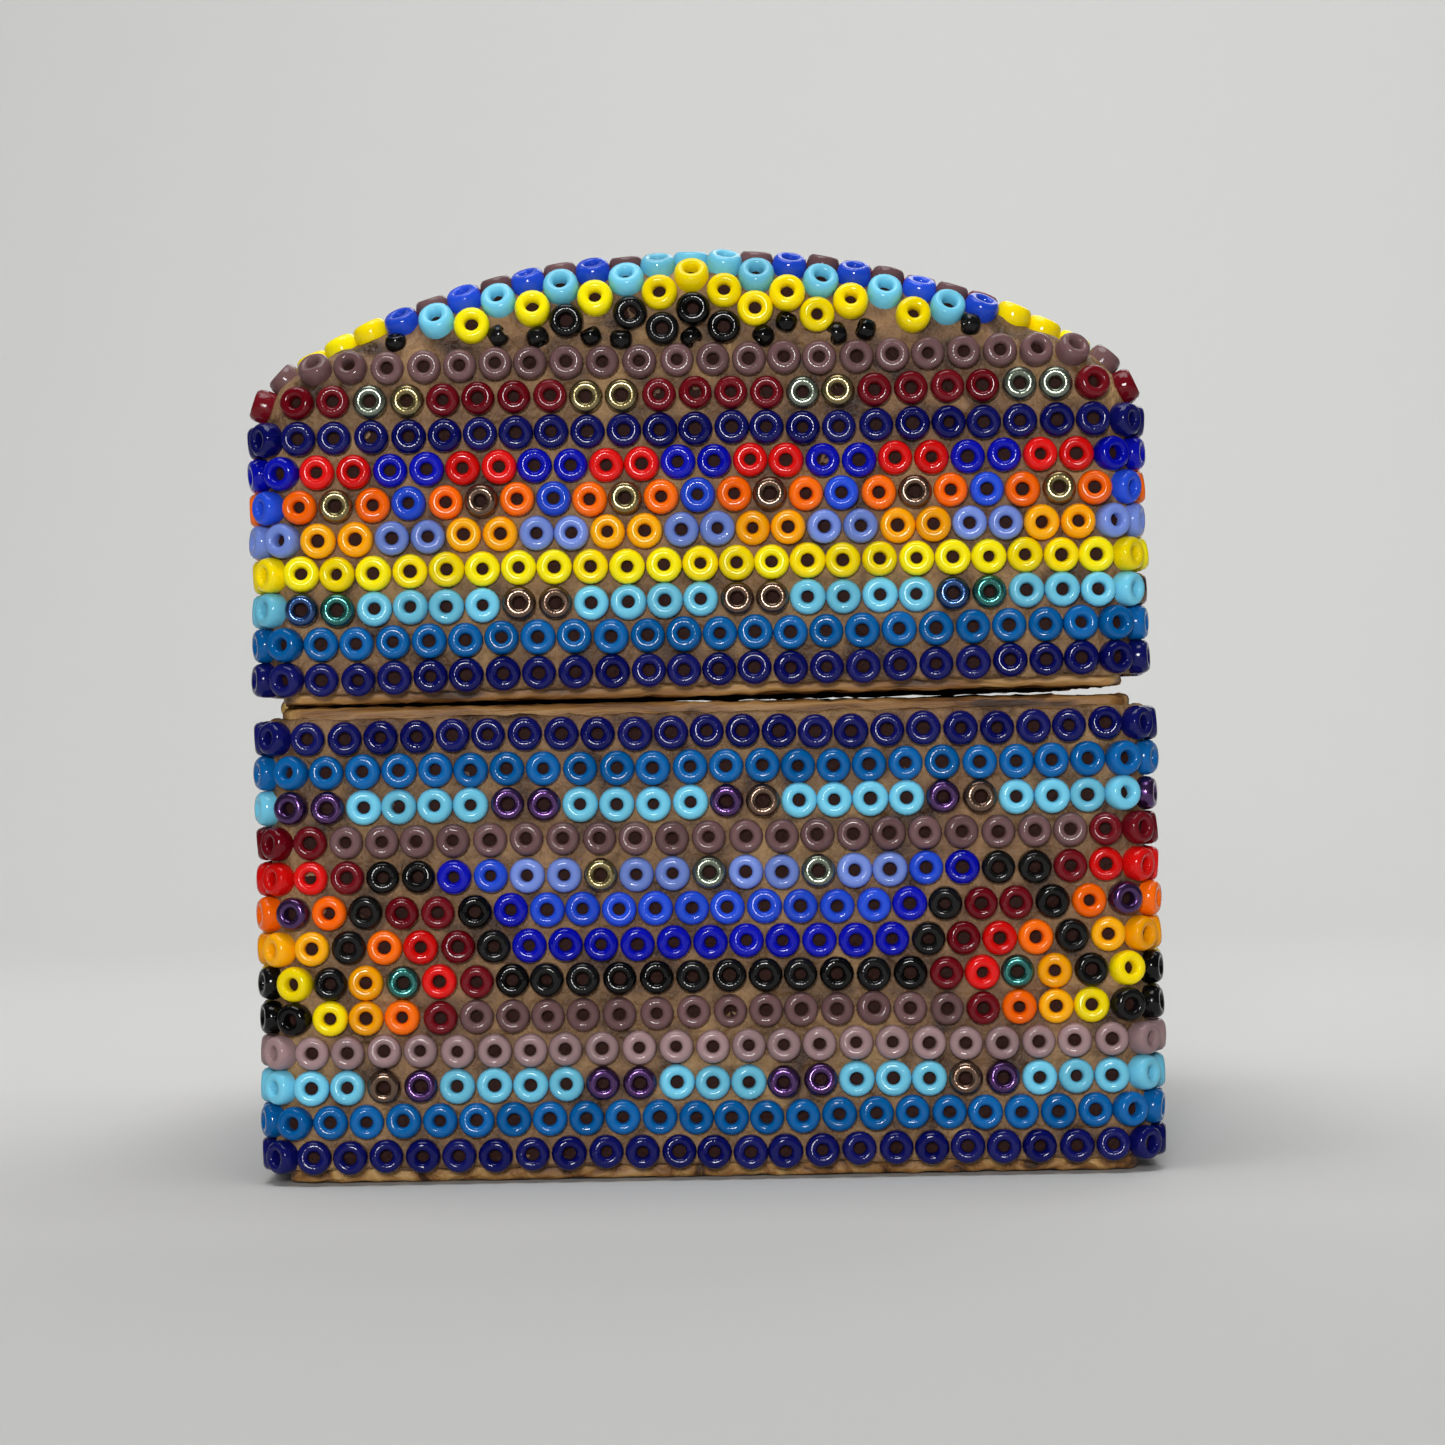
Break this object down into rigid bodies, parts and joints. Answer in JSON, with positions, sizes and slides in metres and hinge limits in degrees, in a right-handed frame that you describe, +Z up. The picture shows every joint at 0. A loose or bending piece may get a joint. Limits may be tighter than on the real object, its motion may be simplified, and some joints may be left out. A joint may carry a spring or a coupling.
{
  "type": "beaded trinket chest",
  "caption": "Small wooden trinket chest with a hinged domed lid, its outside covered in rows of coloured glass seed beads set in beeswax in the Huichol style.",
  "frame": {"origin": "centre of the wooden base's flat underside, which the chest stands on", "axes": "+Z up; +Y along the barrel axis of the domed lid, away from the D-shaped end with the stepped pattern; +X from the hinge side to the opening side"},
  "size_m": [0.0533, 0.0662, 0.0545],
  "materials": {
    "wood": "satin",
    "wax": "satin",
    "brass": "satin",
    "bead_amber": "gloss",
    "bead_azure": "gloss",
    "bead_black": "gloss",
    "bead_cobalt": "gloss",
    "bead_iris": "gloss",
    "bead_maroon": "gloss",
    "bead_mauve": "gloss",
    "bead_navy": "gloss",
    "bead_orange": "gloss",
    "bead_pale_mauve": "gloss",
    "bead_periwinkle": "gloss",
    "bead_red": "gloss",
    "bead_royal": "gloss",
    "bead_sky": "gloss",
    "bead_yellow": "gloss"
  },
  "bodies": {
    "base": {"base_beads_amber": "bead_amber", "base_beads_azure": "bead_azure", "base_beads_black": "bead_black", "base_beads_cobalt": "bead_cobalt", "base_beads_iris": "bead_iris", "base_beads_maroon": "bead_maroon", "base_beads_mauve": "bead_mauve", "base_beads_navy": "bead_navy", "base_beads_orange": "bead_orange", "base_beads_pale_mauve": "bead_pale_mauve", "base_beads_periwinkle": "bead_periwinkle", "base_beads_red": "bead_red", "base_beads_royal": "bead_royal", "base_beads_sky": "bead_sky", "base_beads_yellow": "bead_yellow", "base_floor_board": "wood", "base_front_end_board": "wood", "base_hinge_nails": "brass", "base_hinge_side_board": "wood", "base_open_side_board": "wood", "base_rear_end_board": "wood", "base_wax_coat": "wax", "hinge_1_base_leaf": "brass", "hinge_1_pin": "brass", "hinge_2_base_leaf": "brass", "hinge_2_pin": "brass"},
    "lid": {"hinge_1_lid_leaf": "brass", "hinge_2_lid_leaf": "brass", "lid_arched_top": "wood", "lid_beads_amber": "bead_amber", "lid_beads_azure": "bead_azure", "lid_beads_black": "bead_black", "lid_beads_cobalt": "bead_cobalt", "lid_beads_iris": "bead_iris", "lid_beads_maroon": "bead_maroon", "lid_beads_mauve": "bead_mauve", "lid_beads_navy": "bead_navy", "lid_beads_orange": "bead_orange", "lid_beads_pale_mauve": "bead_pale_mauve", "lid_beads_periwinkle": "bead_periwinkle", "lid_beads_red": "bead_red", "lid_beads_royal": "bead_royal", "lid_beads_sky": "bead_sky", "lid_beads_yellow": "bead_yellow", "lid_front_end_panel": "wood", "lid_hinge_nails": "brass", "lid_hinge_side_rail": "wood", "lid_open_side_rail": "wood", "lid_rear_end_panel": "wood", "lid_wax_coat": "wax"}
  },
  "joints": [
    {"name": "lid_hinge", "type": "hinge", "parent": "base", "child": "lid", "pos_m": [-0.0259, 0, 0.02792], "axis": [0, -1, 0], "range_deg": [0, 100]}
  ]
}
